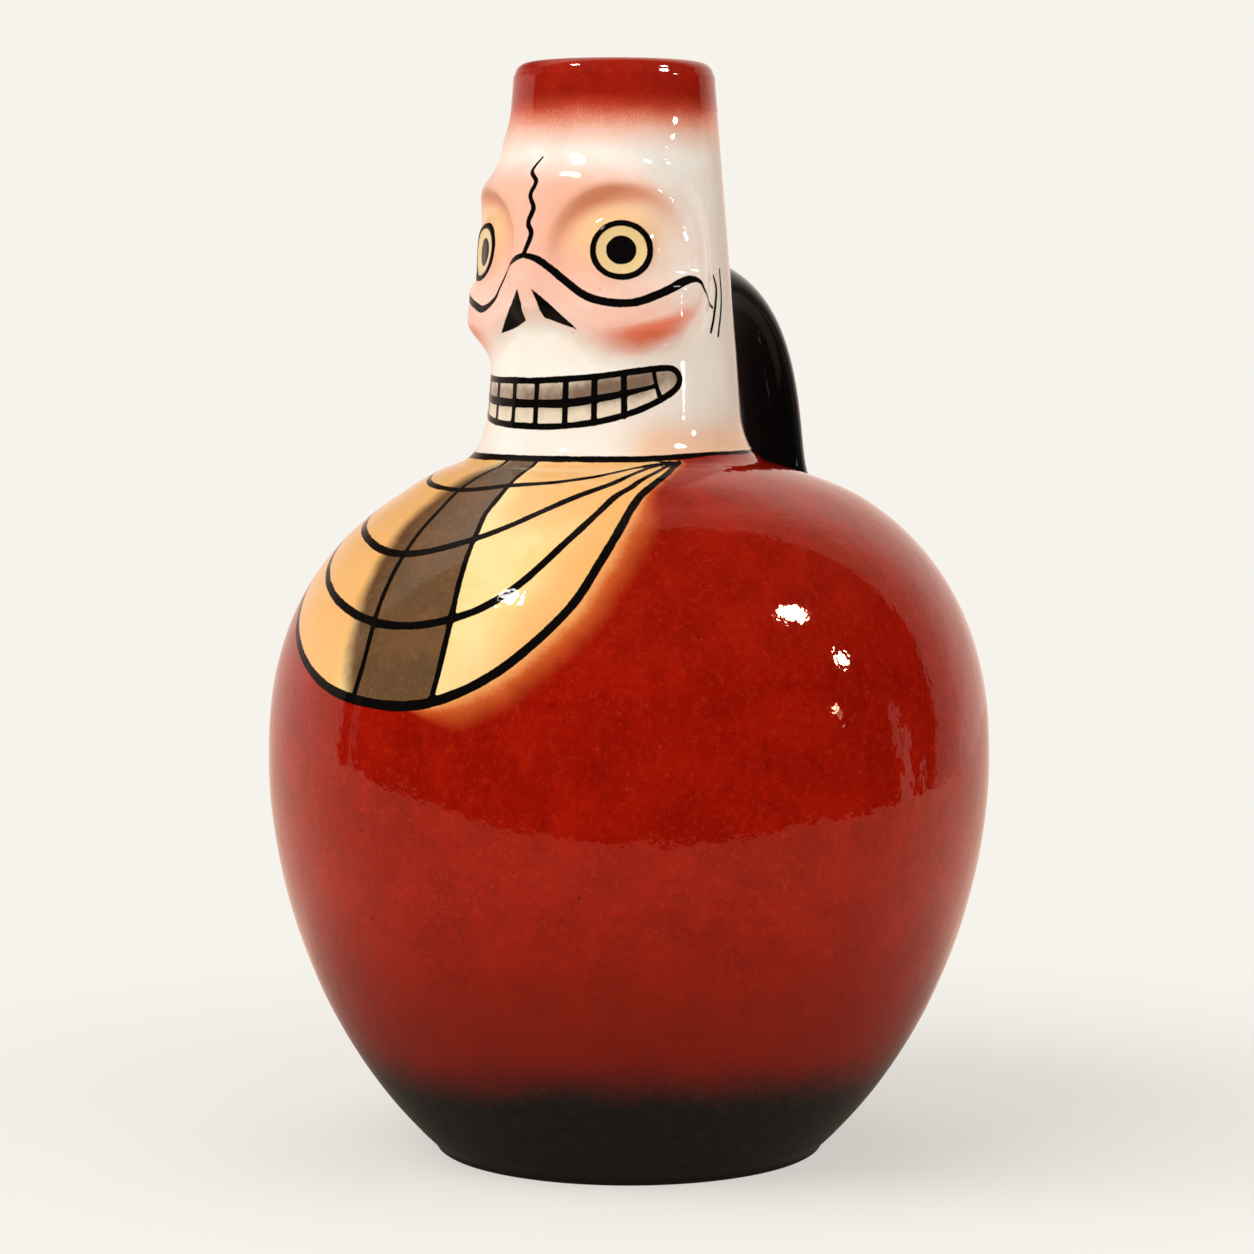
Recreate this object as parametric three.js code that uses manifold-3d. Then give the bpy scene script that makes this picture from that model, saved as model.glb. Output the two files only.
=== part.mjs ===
// A skull-necked ceramic jug, as the clay pieces that a potter joins before glazing: a round body thrown
// in two halves on a base disc and a foot ring, a tapered neck with a lip coil, the pads of clay that
// raise a skull's face on the neck, and a looped handle.
// Millimetres, +Z up. The origin is the middle of the foot's resting face. The face looks along -Y and
// the handle stands at +Y. The skull's own left is +X.
import * as THREE from "three";
import { mergeVertices } from "three/addons/utils/BufferGeometryUtils.js";
import Module from "manifold-3d";

const wasm = await Module();
wasm.setup();

// Driving dimensions: body
const HEIGHT = 300;
const BELLY_RADIUS = 100;
const BELLY_HEIGHT = 109;
const FOOT_RADIUS = 52.6;
const FOOT_EDGE = 1.5;
const FOOT_RING_WIDTH = 10;
const FOOT_RING_HEIGHT = 6;
const BASE_THICKNESS = 7;
const BODY_WALL = 6;
const BOWL_FULLNESS = 1.89; // exponent of the oval below the belly line: 2 is an ellipse, more is fuller
const SHOULDER_FULLNESS = 2.35; // the same for the oval above it
const SHOULDER_RISE = 87.4; // from the belly line to the crown of the shoulder's oval

// Driving dimensions: neck and lip
const NECK_BASE_RADIUS = 35.9;
const NECK_TOP_RADIUS = 27.2;
const NECK_WALL = 6.5;
const NECK_OFFSET = 6.5; // the neck stands this far in front of the body's axis
const NECK_LEAN_RISE = 12; // height over which the shoulder shifts to meet it
const NECK_FILLET_RISE = 12;
const NECK_FILLET_SPREAD = 8;
const LIP_HEIGHT = 13;
const LIP_WALL = 7.5;
const LIP_ROUND = 3.7;

// Driving dimensions: handle
const HANDLE_WIDTH = 22;
const HANDLE_THICKNESS = 15;
const HANDLE_RISE = 48.4; // of its upper root, above the neck's seat
const HANDLE_REACH = 40.9; // from the neck's back to the roll's middle at its widest
const HANDLE_SPRING = 27; // how far the roll aims straight out before it turns down
const HANDLE_TURN = 19; // how far below its root it has turned down
const HANDLE_ROOT = 8; // how far each end of the roll runs in before it is cut to its seat

// Driving dimensions: face. Rises are above the neck's seat, and angles are from the face's midline.
const EYE_ANGLE = 41.6;
const EYE_RISE = 55.5;
const EYE_DOME_WIDTH = 40;
const EYE_DOME_HEIGHT = 36;
const EYE_DOME_DEPTH = 6.8;
const BROW_RISE = 72.5;
const BROW_ARCH = 14;
const BROW_HALF_LENGTH = 24;
const BROW_RADIUS = 6.2;
const CHEEK_RISE = 40;
const CHEEK_ARCH = -13;
const CHEEK_HALF_LENGTH = 25;
const CHEEK_RADIUS = 7.4;
const NOSE_RISE = 57;
const NOSE_HEIGHT = 46;
const NOSE_WIDTH = 22;
const NOSE_DEPTH = 7.4;

// Clearances and joints. Each ring joint has a V key: a ridge above in a groove below.
const JOINT_GAP = 0.3;
const KEY_HALF_WIDTH = 1.3;
const KEY_DEPTH = 2;

// Fineness of the round surfaces
const ROUND_STEPS = 40;
const WALL_STEPS = 9;
const FILLET_STEPS = 3;
const LIP_STEPS = 4;
const HANDLE_STEPS = 16;
const HANDLE_SIDES = 18;
const PAD_STEPS = 14;

// Glaze colours
const RED = { color: 0x9e1a10, roughness: 0.12, metalness: 0 };
const BLACK = { color: 0x14120f, roughness: 0.12, metalness: 0 };
const CREAM = { color: 0xefe3d2, roughness: 0.12, metalness: 0 };
const BLUSH = { color: 0xeabfa6, roughness: 0.12, metalness: 0 };

// The body's outline: one oval below the belly line and a fuller one above it

// How wide an oval is at a share of its height, or how high at a share of its width, as a share in turn
function ovalShare(share, fullness) {
  return (1 - share ** fullness) ** (1 / fullness);
}

const bowlDepth = BELLY_HEIGHT / ovalShare(FOOT_RADIUS / BELLY_RADIUS, BOWL_FULLNESS);

function bowlRadius(z, wall = 0) {
  return (BELLY_RADIUS - wall) * ovalShare((BELLY_HEIGHT - z) / (bowlDepth - wall), BOWL_FULLNESS);
}

function shoulderRadius(z, wall = 0) {
  const share = (z - BELLY_HEIGHT) / (SHOULDER_RISE - wall);
  return (BELLY_RADIUS - wall) * ovalShare(share, SHOULDER_FULLNESS);
}

function shoulderHeight(radius, wall = 0) {
  const share = radius / (BELLY_RADIUS - wall);
  return BELLY_HEIGHT + (SHOULDER_RISE - wall) * ovalShare(share, SHOULDER_FULLNESS);
}

// The neck's outline: a straight taper from its seat to the lip, with a fillet at its root

const neckSeat = shoulderHeight(NECK_BASE_RADIUS);
const lipSeat = HEIGHT - LIP_HEIGHT;
const filletFoot = shoulderHeight(NECK_BASE_RADIUS + NECK_FILLET_SPREAD);
const filletTop = neckSeat + NECK_FILLET_RISE;

function neckRadius(z) {
  const share = (z - neckSeat) / (HEIGHT - neckSeat);
  return NECK_BASE_RADIUS + (NECK_TOP_RADIUS - NECK_BASE_RADIUS) * share;
}

const fillet = new THREE.QuadraticBezierCurve(
  new THREE.Vector2(NECK_BASE_RADIUS + NECK_FILLET_SPREAD, filletFoot),
  new THREE.Vector2(NECK_BASE_RADIUS, neckSeat),
  new THREE.Vector2(neckRadius(filletTop), filletTop),
);

// Share along the fillet where it passes the neck's seat, where the two pieces meet
const below = neckSeat - filletFoot;
const seatShare = Math.sqrt(below) / (Math.sqrt(below) + Math.sqrt(NECK_FILLET_RISE));

// Sideways shift of the shoulder's top, the neck and the lip, towards the face
function lean(z) {
  return -NECK_OFFSET * THREE.MathUtils.smoothstep(z, neckSeat - NECK_LEAN_RISE, neckSeat);
}

// Points at even steps of a share from 0 to 1, both ends included
function along(steps, pointAt) {
  return Array.from({ length: steps + 1 }, (_, i) => pointAt(i / steps));
}

// Points on a wall between two heights, bunched towards the far one where the wall turns over
function wallPoints(low, high, radiusAt, shift = 0) {
  return along(WALL_STEPS, (t) => {
    const z = low + (high - low) * Math.sin((t * Math.PI) / 2);
    return new THREE.Vector2(radiusAt(z) + shift, z + shift);
  });
}

// The V across a ring joint's face at height z, from the outside inwards
function key(outer, inner, z) {
  const middle = (outer + inner) / 2;
  return [
    new THREE.Vector2(middle + KEY_HALF_WIDTH, z),
    new THREE.Vector2(middle, z - KEY_DEPTH),
    new THREE.Vector2(middle - KEY_HALF_WIDTH, z),
  ];
}

// Turned pieces

function turned(profile) {
  const geometry = new THREE.LatheGeometry(profile, ROUND_STEPS);
  geometry.rotateX(Math.PI / 2);
  const position = geometry.attributes.position;
  for (let i = 0; i < position.count; i++) {
    position.setY(i, position.getY(i) + lean(position.getZ(i)));
  }
  return geometry;
}

function ring(profile) {
  return turned([...profile, profile[0].clone()]);
}

function footRing() {
  const inner = FOOT_RADIUS - FOOT_RING_WIDTH;
  return ring([
    new THREE.Vector2(inner, 0),
    new THREE.Vector2(FOOT_RADIUS - FOOT_EDGE, 0),
    new THREE.Vector2(bowlRadius(FOOT_EDGE), FOOT_EDGE),
    new THREE.Vector2(bowlRadius(FOOT_RING_HEIGHT), FOOT_RING_HEIGHT),
    new THREE.Vector2(inner, FOOT_RING_HEIGHT),
  ]);
}

const baseLow = FOOT_RING_HEIGHT + JOINT_GAP;
const baseHigh = baseLow + BASE_THICKNESS;
const baseRadius = bowlRadius(baseHigh, BODY_WALL);

function baseDisc() {
  const edge = baseRadius - JOINT_GAP;
  return turned([
    new THREE.Vector2(0, baseLow),
    new THREE.Vector2(edge, baseLow),
    new THREE.Vector2(edge, baseHigh),
    new THREE.Vector2(0, baseHigh),
  ]);
}

function lowerBowl() {
  const outer = wallPoints(baseLow, BELLY_HEIGHT, (z) => bowlRadius(z));
  const inner = wallPoints(baseHigh, BELLY_HEIGHT, (z) => bowlRadius(z, BODY_WALL));
  const groove = key(BELLY_RADIUS, BELLY_RADIUS - BODY_WALL, BELLY_HEIGHT);
  return ring([new THREE.Vector2(baseRadius, baseLow), ...outer, ...groove, ...inner.reverse()]);
}

function shoulder() {
  const low = BELLY_HEIGHT + JOINT_GAP;
  const bore = NECK_BASE_RADIUS - NECK_WALL;
  const boreFoot = shoulderHeight(bore, BODY_WALL);
  const outer = wallPoints(low, filletFoot, (z) => shoulderRadius(z));
  const inner = wallPoints(low, boreFoot, (z) => shoulderRadius(z, BODY_WALL));
  const flare = along(FILLET_STEPS, (t) => fillet.getPoint(t * seatShare)).slice(1);
  const groove = key(flare.at(-1).x, bore, neckSeat);
  const ridge = key(BELLY_RADIUS, BELLY_RADIUS - BODY_WALL, low);
  const top = new THREE.Vector2(bore, neckSeat);
  return ring([...outer, ...flare, ...groove, top, ...inner.reverse(), ...ridge.reverse()]);
}

function neck() {
  const low = neckSeat + JOINT_GAP;
  const bore = NECK_BASE_RADIUS - NECK_WALL;
  const rest = along(FILLET_STEPS, (t) => fillet.getPoint(seatShare + t * (1 - seatShare)));
  rest[0].y = low;
  const outer = neckRadius(lipSeat);
  const inner = outer - NECK_WALL;
  return ring([
    ...rest,
    new THREE.Vector2(outer, lipSeat),
    ...key(outer, inner, lipSeat),
    new THREE.Vector2(inner, lipSeat),
    new THREE.Vector2(bore, low),
    ...key(rest[0].x, bore, low).reverse(),
  ]);
}

function lip() {
  const low = lipSeat + JOINT_GAP;
  const seatOuter = neckRadius(lipSeat);
  const seatInner = seatOuter - NECK_WALL;
  const outer = NECK_TOP_RADIUS;
  const inner = outer - LIP_WALL;
  const rounded = (centre, from, to) =>
    along(LIP_STEPS, (t) => {
      const a = from + (to - from) * t;
      const reach = new THREE.Vector2(Math.cos(a), Math.sin(a)).multiplyScalar(LIP_ROUND);
      return reach.add(new THREE.Vector2(centre, HEIGHT - LIP_ROUND));
    });
  return ring([
    new THREE.Vector2(seatOuter, low),
    ...rounded(outer - LIP_ROUND, 0, Math.PI / 2),
    ...rounded(inner + LIP_ROUND, Math.PI / 2, Math.PI),
    new THREE.Vector2(seatInner, low),
    ...key(seatOuter, seatInner, low).reverse(),
  ]);
}

// Joining and cutting

function solid(geometry) {
  const bare = geometry.index ? geometry.toNonIndexed() : geometry.clone();
  bare.deleteAttribute("normal");
  bare.deleteAttribute("uv");
  const merged = mergeVertices(bare, 1e-4);
  return new wasm.Manifold(
    new wasm.Mesh({
      numProp: 3,
      vertProperties: merged.attributes.position.array,
      triVerts: new Uint32Array(merged.index.array),
    }),
  );
}

function surface(manifold) {
  const mesh = manifold.getMesh();
  const geometry = new THREE.BufferGeometry();
  geometry.setAttribute("position", new THREE.BufferAttribute(mesh.vertProperties, 3));
  geometry.setIndex(new THREE.BufferAttribute(mesh.triVerts, 1));
  return geometry;
}

function cut(geometry, ...tools) {
  return surface(tools.reduce((left, tool) => left.subtract(tool), solid(geometry)));
}

// The jug's outside as one full solid, grown by the joint gap: it cuts the seats of all that is luted on
function outsideTool() {
  const body = wallPoints(BELLY_HEIGHT, filletFoot, (z) => shoulderRadius(z), JOINT_GAP);
  const flare = along(2 * FILLET_STEPS, (t) => fillet.getPoint(t)).slice(1);
  for (const point of flare) point.addScalar(JOINT_GAP);
  const topRadius = neckRadius(HEIGHT) + JOINT_GAP;
  return solid(
    turned([
      new THREE.Vector2(0, BELLY_HEIGHT),
      ...body,
      ...flare,
      new THREE.Vector2(topRadius, HEIGHT),
      new THREE.Vector2(0, HEIGHT),
    ]),
  );
}

// Pads of clay on the neck

// Lays a pad on the neck: x runs round it from the given angle, y runs into it, z is up
function wrapOnNeck(geometry, degrees) {
  const position = geometry.attributes.position;
  for (let i = 0; i < position.count; i++) {
    const z = position.getZ(i);
    const angle = THREE.MathUtils.degToRad(degrees) + position.getX(i) / neckRadius(z);
    const reach = neckRadius(z) - position.getY(i);
    position.setXYZ(i, reach * Math.sin(angle), lean(z) - reach * Math.cos(angle), z);
  }
  return geometry;
}

function dome(width, height, depth, rise, degrees, grow) {
  const geometry = new THREE.SphereGeometry(1, PAD_STEPS, PAD_STEPS / 2);
  geometry.scale(width / 2 + grow, depth + grow, height / 2 + grow);
  geometry.translate(0, 0, neckSeat + rise);
  return wrapOnNeck(geometry, degrees);
}

// A round-ended roll of clay laid along an arch that peaks at its middle
function roll(radius, halfLength, arch, rise, degrees, grow) {
  const straight = 2 * (halfLength - radius);
  const geometry = new THREE.CapsuleGeometry(radius + grow, straight, 4, PAD_STEPS - 4, PAD_STEPS / 2);
  geometry.rotateZ(Math.PI / 2);
  const position = geometry.attributes.position;
  for (let i = 0; i < position.count; i++) {
    const share = position.getX(i) / halfLength;
    position.setZ(i, position.getZ(i) + neckSeat + rise - arch * share * share);
  }
  return wrapOnNeck(geometry, degrees);
}

const eyeDome = (side, grow = 0) =>
  dome(EYE_DOME_WIDTH, EYE_DOME_HEIGHT, EYE_DOME_DEPTH, EYE_RISE, side * EYE_ANGLE, grow);
const brow = (side, grow = 0) =>
  roll(BROW_RADIUS, BROW_HALF_LENGTH, BROW_ARCH, BROW_RISE, side * EYE_ANGLE, grow);
const cheekbone = (side, grow = 0) =>
  roll(CHEEK_RADIUS, CHEEK_HALF_LENGTH, CHEEK_ARCH, CHEEK_RISE, side * EYE_ANGLE, grow);
const noseBridge = (grow = 0) =>
  dome(NOSE_WIDTH, NOSE_HEIGHT, NOSE_DEPTH, NOSE_RISE, 0, grow);

// Handle: an oval roll of clay that springs from the neck's back and comes down on the shoulder

function handle() {
  const rootHeight = neckSeat + HANDLE_RISE;
  const neckBack = neckRadius(rootHeight) + lean(rootHeight);
  const far = neckBack + HANDLE_REACH;
  const landing = shoulderHeight(far);
  const path = new THREE.CubicBezierCurve3(
    new THREE.Vector3(0, neckBack - HANDLE_ROOT, rootHeight),
    new THREE.Vector3(0, neckBack + HANDLE_SPRING, rootHeight),
    new THREE.Vector3(0, far, rootHeight - HANDLE_TURN),
    new THREE.Vector3(0, far, landing - HANDLE_ROOT),
  );
  const section = new THREE.Shape();
  section.absellipse(0, 0, HANDLE_WIDTH / 2, HANDLE_THICKNESS / 2, 0, 2 * Math.PI);
  return new THREE.ExtrudeGeometry(section, {
    steps: HANDLE_STEPS,
    curveSegments: HANDLE_SIDES / 2, // an ellipse takes two steps for each
    extrudePath: path,
  });
}

// The assembly

const jug = new THREE.Group();
jug.name = "jug";

function add(name, geometry, glaze) {
  const mesh = new THREE.Mesh(geometry, new THREE.MeshStandardMaterial(glaze));
  mesh.name = name;
  jug.add(mesh);
}

add("foot_ring", footRing(), BLACK);
add("base_disc", baseDisc(), CREAM);
add("lower_bowl", lowerBowl(), RED);
add("shoulder", shoulder(), RED);
add("neck", neck(), CREAM);
add("lip", lip(), RED);

const outside = outsideTool();
add("handle", cut(handle(), outside), BLACK);

const grownNose = solid(noseBridge(JOINT_GAP));
add("nose_bridge", cut(noseBridge(), outside), CREAM);
for (const [name, side] of [["left", 1], ["right", -1]]) {
  const grownBrow = solid(brow(side, JOINT_GAP));
  const grownCheek = solid(cheekbone(side, JOINT_GAP));
  add(name + "_brow", cut(brow(side), outside, grownNose), BLUSH);
  add(name + "_cheekbone", cut(cheekbone(side), outside, grownNose, grownBrow), BLUSH);
  add(name + "_eye_dome", cut(eyeDome(side), outside, grownNose, grownBrow, grownCheek), BLUSH);
}

export default jug;
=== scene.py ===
"""A glazed ceramic jug whose neck is a painted skull.

Lengths are millimetres until a mesh is made. The face looks along -Y, the handle stands at +Y, and turns
round the jug are degrees from the face's midline towards the skull's own left, +X.
"""
from math import cos, pi, radians, sin, tan

import bpy
import numpy as np
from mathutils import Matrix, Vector
from mathutils.kdtree import KDTree


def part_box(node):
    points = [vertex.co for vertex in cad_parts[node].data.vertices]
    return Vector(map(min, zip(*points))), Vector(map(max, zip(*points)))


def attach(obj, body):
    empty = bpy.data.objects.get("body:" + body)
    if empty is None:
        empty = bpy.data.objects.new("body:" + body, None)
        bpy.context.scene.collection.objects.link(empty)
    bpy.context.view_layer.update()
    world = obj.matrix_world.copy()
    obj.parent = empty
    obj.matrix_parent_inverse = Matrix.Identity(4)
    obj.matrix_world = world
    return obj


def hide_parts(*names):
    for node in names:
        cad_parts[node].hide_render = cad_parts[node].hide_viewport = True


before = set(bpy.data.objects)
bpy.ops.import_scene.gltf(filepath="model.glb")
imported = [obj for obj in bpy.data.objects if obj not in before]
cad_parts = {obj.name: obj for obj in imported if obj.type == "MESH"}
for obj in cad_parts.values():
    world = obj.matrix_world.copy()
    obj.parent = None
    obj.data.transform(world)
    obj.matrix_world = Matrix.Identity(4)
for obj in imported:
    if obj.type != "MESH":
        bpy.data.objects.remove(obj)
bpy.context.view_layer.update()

MM = 0.001
BODY = "root"
scene = bpy.context.scene
rng = np.random.default_rng(11)


def put(name, data):
    """A named object in the scene"""
    made = bpy.data.objects.new(name, data)
    scene.collection.objects.link(made)
    return made


def top_of(node):
    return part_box(node)[1].z / MM


# Heights and radii that the solids give
HEIGHT = top_of("lip")
LIP_SEAT = top_of("neck")
NECK_SEAT = top_of("shoulder")
BELLY_HEIGHT = top_of("lower_bowl")
FOOT_TOP = top_of("foot_ring")
BASE_LOW, BASE_HIGH = (corner.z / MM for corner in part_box("base_disc"))
BASE_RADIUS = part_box("base_disc")[1].x / MM
BELLY_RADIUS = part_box("lower_bowl")[1].x / MM

# The thrown outline: an oval below the belly line, a fuller one above it, a tapered neck with a filleted root
FOOT_RADIUS = 52.6
FOOT_INNER_RADIUS = 42.6
FOOT_EDGE = 1.5
BOWL_FULLNESS = 1.89
SHOULDER_FULLNESS = 2.35
SHOULDER_RISE = 87.4
NECK_BASE_RADIUS = 35.9
NECK_TOP_RADIUS = 27.2
NECK_WALL = 6.5
NECK_OFFSET = 6.5
NECK_LEAN_RISE = 12
FILLET_RISE = 12
FILLET_SPREAD = 8
BODY_WALL = 6
LIP_WALL = 7.5
LIP_ROUND = 3.7

# The handle: an oval roll from the neck's back to the shoulder
HANDLE_WIDTH = 22
HANDLE_THICKNESS = 15
HANDLE_RISE = 48.4
HANDLE_REACH = 40.9
HANDLE_SPRING = 27
HANDLE_TURN = 19
HANDLE_ROOT = 8
HANDLE_SEAT = 2.5
HANDLE_FLARE = 0.12
HANDLE_FLARE_LENGTH = 4

# Mesh spacing. The front, which is painted, is finer than the back.
FRONT_REACH = 105
FRONT_STEP = 0.6
BACK_STEP = 1.5
BOWL_STEP = 2.0
SHOULDER_STEP = 0.74
NECK_STEP = 0.56
OUTLINE_STEPS = 4000
INSIDE_STEPS = 14
FOOT_STEPS = 5
LIP_STEPS = 12
HANDLE_STEPS = 140
HANDLE_SIDES = 64

# How far a thrown wall waves in and out under its glaze
WOBBLE = 0.05


# Shared shapes

def ease(low, high, x):
    share = np.clip((x - low) / (high - low), 0, 1)
    return share * share * (3 - 2 * share)


def swell(x, spread):
    return np.exp(-0.5 * (x / spread) ** 2)


def patch(turn, z, place, height, wide, tall):
    """A soft oval: 1 in its middle, with its spreads in degrees round the jug and in millimetres up it"""
    return swell(turn - place, wide) * swell(z - height, tall)


def turn_from_face(phi):
    """Degrees from the face's midline, to either side"""
    return np.abs((phi + 180) % 360 - 180)


def oval_share(share, fullness):
    return (1 - np.clip(share, 0, 1) ** fullness) ** (1 / fullness)


def shoulder_height(radius):
    return BELLY_HEIGHT + SHOULDER_RISE * oval_share(radius / BELLY_RADIUS, SHOULDER_FULLNESS)


bowl_depth = BELLY_HEIGHT / oval_share(FOOT_RADIUS / BELLY_RADIUS, BOWL_FULLNESS)
fillet_foot = shoulder_height(NECK_BASE_RADIUS + FILLET_SPREAD)
fillet_top = NECK_SEAT + FILLET_RISE


def bowl_radius(z, wall=0):
    return (BELLY_RADIUS - wall) * oval_share((BELLY_HEIGHT - z) / (bowl_depth - wall), BOWL_FULLNESS)


def shoulder_radius(z, wall=0):
    share = (z - BELLY_HEIGHT) / (SHOULDER_RISE - wall)
    return (BELLY_RADIUS - wall) * oval_share(share, SHOULDER_FULLNESS)


def neck_radius(z):
    share = (z - NECK_SEAT) / (HEIGHT - NECK_SEAT)
    return NECK_BASE_RADIUS + (NECK_TOP_RADIUS - NECK_BASE_RADIUS) * share


def fillet_radius(z):
    bend = fillet_foot - 2 * NECK_SEAT + fillet_top
    slope = 2 * (NECK_SEAT - fillet_foot)
    share = (np.sqrt(np.maximum(slope**2 - 4 * bend * (fillet_foot - z), 0)) - slope) / (2 * bend)
    low, high = NECK_BASE_RADIUS + FILLET_SPREAD, neck_radius(fillet_top)
    return (1 - share) ** 2 * low + 2 * share * (1 - share) * NECK_BASE_RADIUS + share**2 * high


def outline_radius(z):
    """The jug's outer radius at each height, without the face"""
    above = np.where(z < fillet_foot, shoulder_radius(z), fillet_radius(z))
    above = np.where(z < fillet_top, above, neck_radius(z))
    return np.where(z < BELLY_HEIGHT, bowl_radius(z), above)


def lean(z):
    """How far forward the neck stands"""
    return -NECK_OFFSET * ease(NECK_SEAT - NECK_LEAN_RISE, NECK_SEAT, z)


# The skull's face: how far the clay stands out from the neck's taper

EYE_TURN, RIGHT_EYE_TURN = 41.6, -37.5
EYE_HEIGHT = 248.6
EYE_ARC = 0.64  # millimetres round the neck for each degree
EYE_SQUASH = 1.06
EYE_RING, EYE_WHITE, EYE_PUPIL = 8.4, 6.7, 4.05
# Where the raised face ends: turns to the side, and heights above and below its middle
MASK_SIDE, MASK_SIDE_FADE = 48, 42
MASK_MIDDLE = 246
MASK_TOP = 28.5
MASK_TEMPLE, MASK_TEMPLE_TURNS = 25, (40, 65)
MASK_CHEEK, MASK_CHEEK_TURNS = 25.5, (8, 35)
MASK_NOSE = 17.5
MASK_SQUARENESS = 2.5
MASK_EDGE = (0.68, 1.14)
FRONT_RELIEF = 4.2
SIDE_RELIEF, SIDE_TURNS = 5.0, (35, 60)
FOREHEAD_RELIEF, FOREHEAD_HEIGHT, FOREHEAD_TALL = 1.5, 277, 4
FOREHEAD_BEGINS, FOREHEAD_ENDS = (12, 40), (55, 95)
# The eye socket: its depth, its half sizes, and the shares of them over which it sinks and rises again
SOCKET_DEPTH = 2.4
SOCKET_WIDTH = 19
SOCKET_HEIGHT = 15.8
SOCKET_SINKS, SOCKET_RISES = (0.2, 0.92), (0.92, 1.13)
# Headings are degrees about the eye, from the nose side upwards
SOCKET_HEADING, SOCKET_ABOVE, SOCKET_BELOW = 62, 32, 46
CREASE_REACH, CREASE_OUTER, CREASE_INNER = 0.97, 0.14, 0.15
CREASE_HEADING, CREASE_SPREAD = 75, 52

# Swellings of the face: height, place round and up, spread round and up
BRIDGE_SWELL = (1.3, 0, 258, 7.5, 11)
NOSE_SWELL = (2.9, 0, 242, 7.5, 6.5)
TEMPLE_SWELL = (1.4, 57, 261, 9, 5)
BROW_SWELL = (1.2, 40, 266, 15, 3.4)
# The swelling under each eye, with its flat middle and its flank, and the bead that carries the painted ring
BALL_RISE, BALL_FLAT, BALL_EDGE = 0.7, 6.5, 13
RING_BEAD, RING_SPREAD = 0.8, 1.2
# The cheekbone, whose top is a soft ledge and whose foot slopes away
CHEEK_RISE, CHEEK_TURN, CHEEK_SPREAD = 2.8, 58, 15
CHEEK_TOP, CHEEK_LEDGE, CHEEK_FOOT, CHEEK_SLOPE = 238, 6, 231, 11


def mask_share(turn, z):
    """1 on the raised face and 0 off it, with a soft edge"""
    round_share = np.maximum(turn - MASK_SIDE, 0) / MASK_SIDE_FADE
    above = MASK_TOP + (MASK_TEMPLE - MASK_TOP) * ease(*MASK_TEMPLE_TURNS, turn)
    below = MASK_NOSE + (MASK_CHEEK - MASK_NOSE) * ease(*MASK_CHEEK_TURNS, turn)
    rise_share = np.where(z > MASK_MIDDLE, (z - MASK_MIDDLE) / above, (MASK_MIDDLE - z) / below)
    share = (round_share**MASK_SQUARENESS + rise_share**MASK_SQUARENESS) ** (1 / MASK_SQUARENESS)
    return 1 - ease(*MASK_EDGE, share)


def eye_distance(phi, z):
    """Distance from the middle of the nearer painted eye"""
    aside = np.where(phi > 0, phi - EYE_TURN, phi - RIGHT_EYE_TURN)
    return np.hypot(aside * EYE_ARC, (z - EYE_HEIGHT) * EYE_SQUASH)


def place_in_socket(turn, z):
    """Share of the way out from the eye to its socket's edge, and the heading there"""
    outwards = (turn - EYE_TURN) * EYE_ARC
    upwards = z - EYE_HEIGHT
    reach = np.hypot(outwards / SOCKET_WIDTH, upwards / SOCKET_HEIGHT)
    return reach, np.degrees(np.arctan2(upwards, -outwards))


def socket_share(turn, z):
    """Depth of the crease round the eye, deepest at its inner upper side"""
    reach, heading = place_in_socket(turn, z)
    spread = np.where(heading > SOCKET_HEADING, SOCKET_ABOVE, SOCKET_BELOW)
    depth = ease(*SOCKET_SINKS, reach) * (1 - ease(*SOCKET_RISES, reach))
    return depth * swell(heading - SOCKET_HEADING, spread)


def crease_tint_and_shade(turn, z):
    """Strength of the tint sprayed along the brow's underside, darkened there as painted shade in the crease
    """
    reach, heading = place_in_socket(turn, z)
    spread = np.where(reach > CREASE_REACH, CREASE_OUTER, CREASE_INNER)
    return swell(reach - CREASE_REACH, spread) * swell(heading - CREASE_HEADING, CREASE_SPREAD)


def face_relief(phi, z):
    turn = turn_from_face(phi)
    relief = FRONT_RELIEF + (SIDE_RELIEF - FRONT_RELIEF) * ease(*SIDE_TURNS, turn)
    for height, *spot in (BRIDGE_SWELL, NOSE_SWELL, TEMPLE_SWELL, BROW_SWELL):
        relief = relief + height * patch(turn, z, *spot)
    eye = eye_distance(phi, z)
    relief = relief + BALL_RISE * (1 - ease(BALL_FLAT, BALL_EDGE, eye))
    relief = relief + RING_BEAD * swell(eye - (EYE_RING + EYE_WHITE) / 2, RING_SPREAD)
    cheek = ease(CHEEK_TOP + CHEEK_LEDGE, CHEEK_TOP, z) * ease(CHEEK_FOOT - CHEEK_SLOPE, CHEEK_FOOT, z)
    relief = relief + CHEEK_RISE * cheek * swell(turn - CHEEK_TURN, CHEEK_SPREAD)
    forehead = ease(*FOREHEAD_BEGINS, turn) * (1 - ease(*FOREHEAD_ENDS, turn))
    forehead = FOREHEAD_RELIEF * forehead * swell(z - FOREHEAD_HEIGHT, FOREHEAD_TALL)
    return relief * mask_share(turn, z) + forehead - SOCKET_DEPTH * socket_share(turn, z)


# Waves of the wobble: how many go round the jug, how many millimetres up it each takes, and its start
wobble_waves = [
    (turns, length, rng.uniform(0, 2 * pi))
    for turns, length in ((5, 70), (11, 45), (17, -31), (23, 24), (31, -19))
]


def wobble(phi, z):
    waves = [np.sin(np.radians(turns * phi) + 2 * pi * z / length + start)
             for turns, length, start in wobble_waves]
    return WOBBLE * (sum(waves) / len(waves) - 1)


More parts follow.
